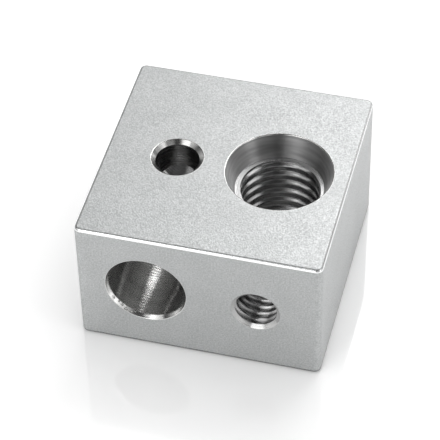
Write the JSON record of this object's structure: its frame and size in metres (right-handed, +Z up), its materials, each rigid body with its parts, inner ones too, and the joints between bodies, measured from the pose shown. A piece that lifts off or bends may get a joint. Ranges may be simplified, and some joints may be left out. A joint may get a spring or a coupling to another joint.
{
  "type": "heater block",
  "caption": "Square aluminium block with a cartridge bore across it, a countersunk tapped throat through it, a clamp hole above the bore and a tapped sensor screw hole in the face.",
  "frame": {"origin": "centre of the base face", "axes": "+Z up along the throat, -Y out of the front face where the cartridge goes in, +X to the right of that face"},
  "size_m": [0.02, 0.02, 0.012],
  "materials": {
    "blasted_aluminium": "fine bead-blasted satin, with bright machined bores"
  },
  "bodies": {
    "root": {"heater_block": "blasted_aluminium"}
  },
  "joints": []
}
